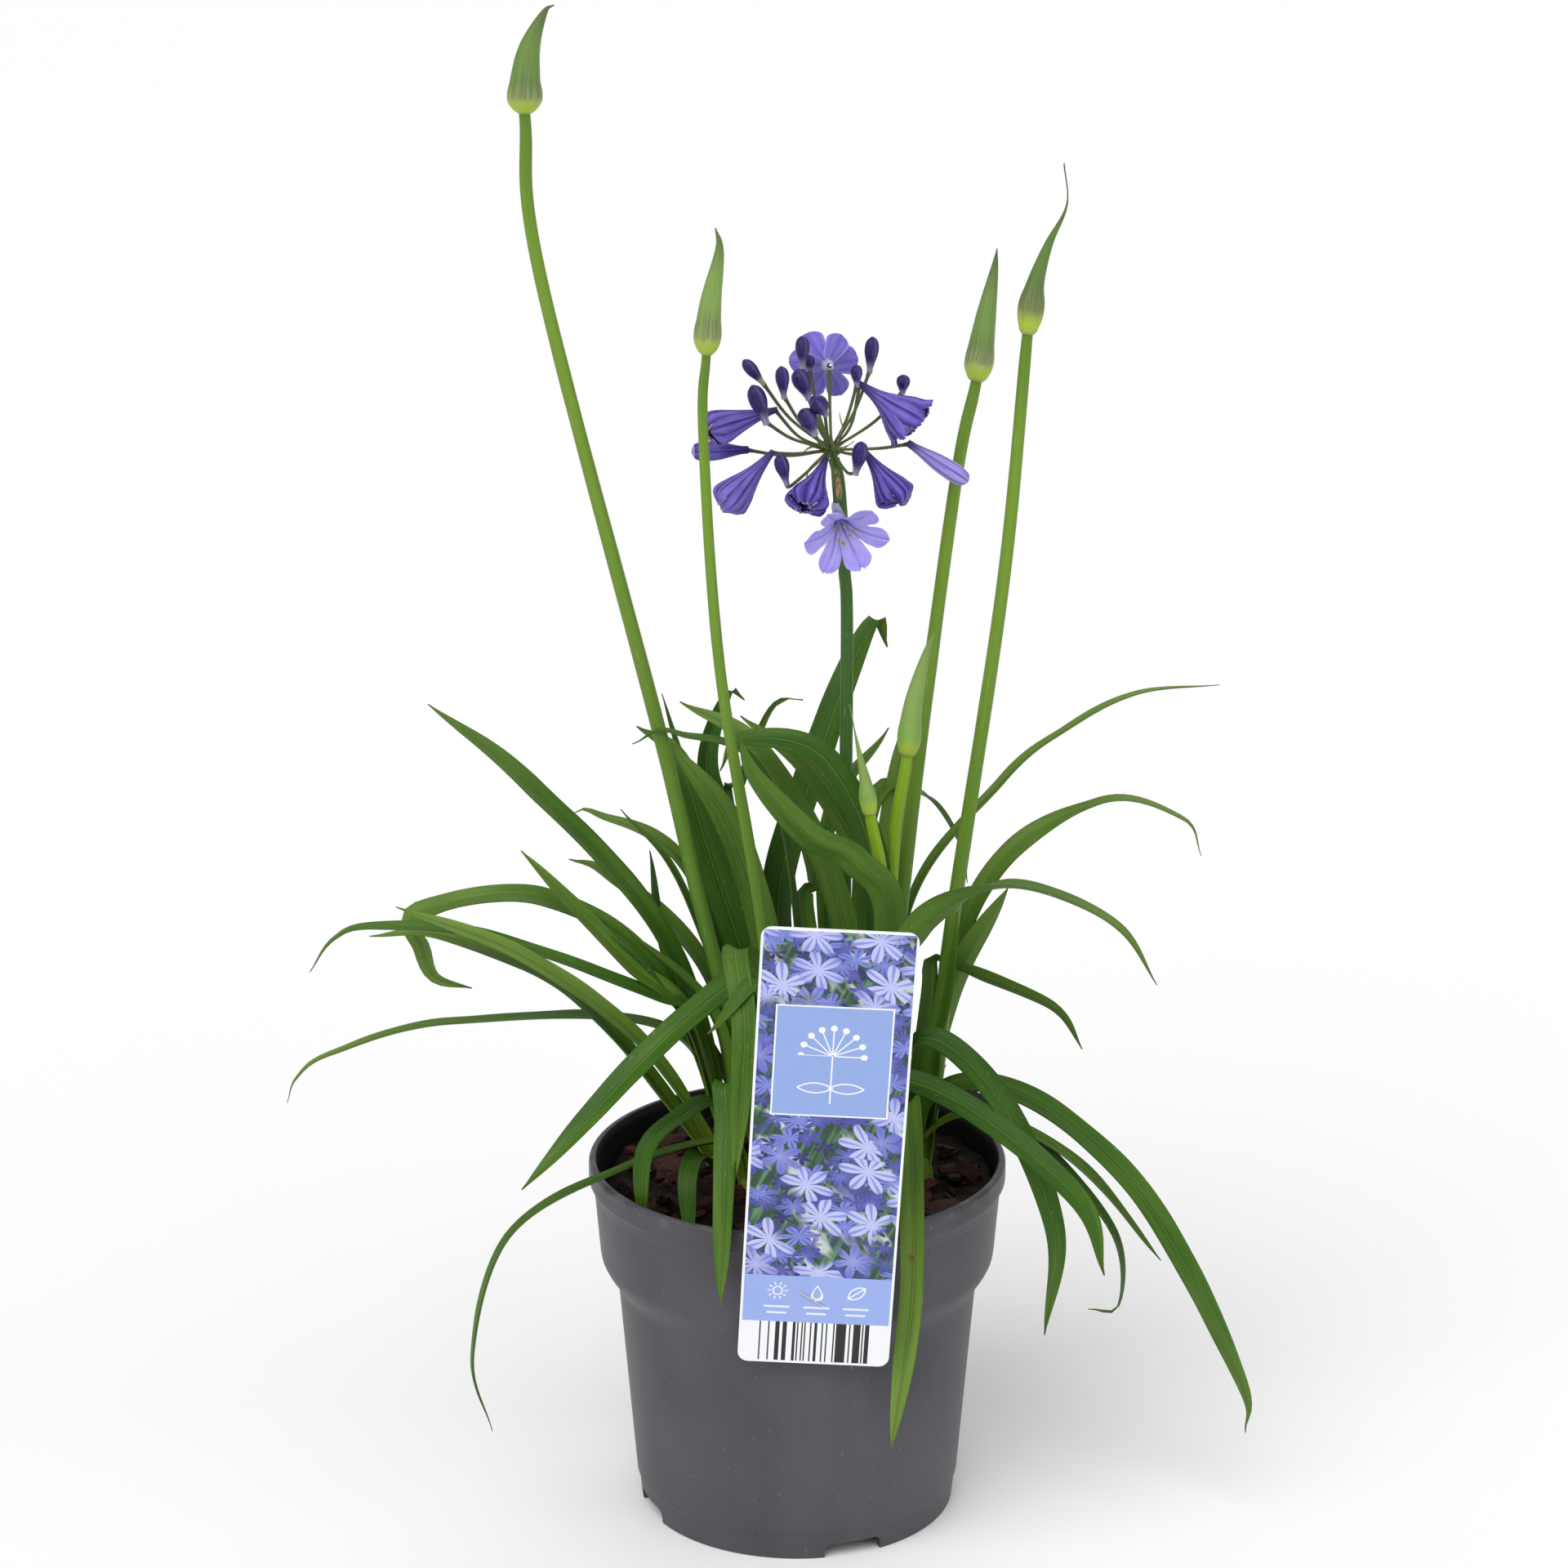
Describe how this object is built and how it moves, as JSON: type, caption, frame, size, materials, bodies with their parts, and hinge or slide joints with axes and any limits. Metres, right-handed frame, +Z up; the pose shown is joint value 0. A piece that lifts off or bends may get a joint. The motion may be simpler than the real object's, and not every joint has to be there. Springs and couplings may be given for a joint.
{
  "type": "agapanthus plant",
  "caption": "Potted agapanthus: arching strap leaves, sheathed flower buds on tall scapes and an open violet umbel, in a round nursery pot with a plant label.",
  "frame": {"origin": "middle of the pot's underside, on the surface it stands on", "axes": "+Z up, +X to the right seen from the label's side, +Y away from the label"},
  "size_m": [0.325, 0.1767, 0.5077],
  "materials": {
    "pot_plastic": "satin dark blue-grey moulded polypropylene with fine scuffs",
    "compost": "damp dark compost topped with red-brown bark chips",
    "label_card": null,
    "staple_wire": "thin galvanised wire",
    "scape_green": "smooth waxy green stalk, sheathed buds striped grey-purple on yellow-green",
    "umbel_violet": "soft violet-blue tepals with darker midribs, indigo buds and green pedicels",
    "leaf_green": "satin mid-green strap leaves with fine parallel veins and pale bases"
  },
  "bodies": {
    "root": {"pot": "pot_plastic", "soil": "compost", "label": "label_card", "staple": "staple_wire", "scape_tall_left": "scape_green", "scape_left": "scape_green", "scape_flowering": "scape_green", "scape_young": "scape_green", "scape_short": "scape_green", "scape_right": "scape_green", "scape_far_right": "scape_green", "umbel": "umbel_violet", "fan_left_low": "leaf_green", "fan_front_left": "leaf_green", "fan_left": "leaf_green", "fan_back_left": "leaf_green", "fan_front": "leaf_green", "fan_centre": "leaf_green", "fan_centre_front": "leaf_green", "fan_back": "leaf_green", "fan_right_back": "leaf_green", "fan_right_front": "leaf_green", "fan_right_low": "leaf_green"}
  },
  "joints": []
}
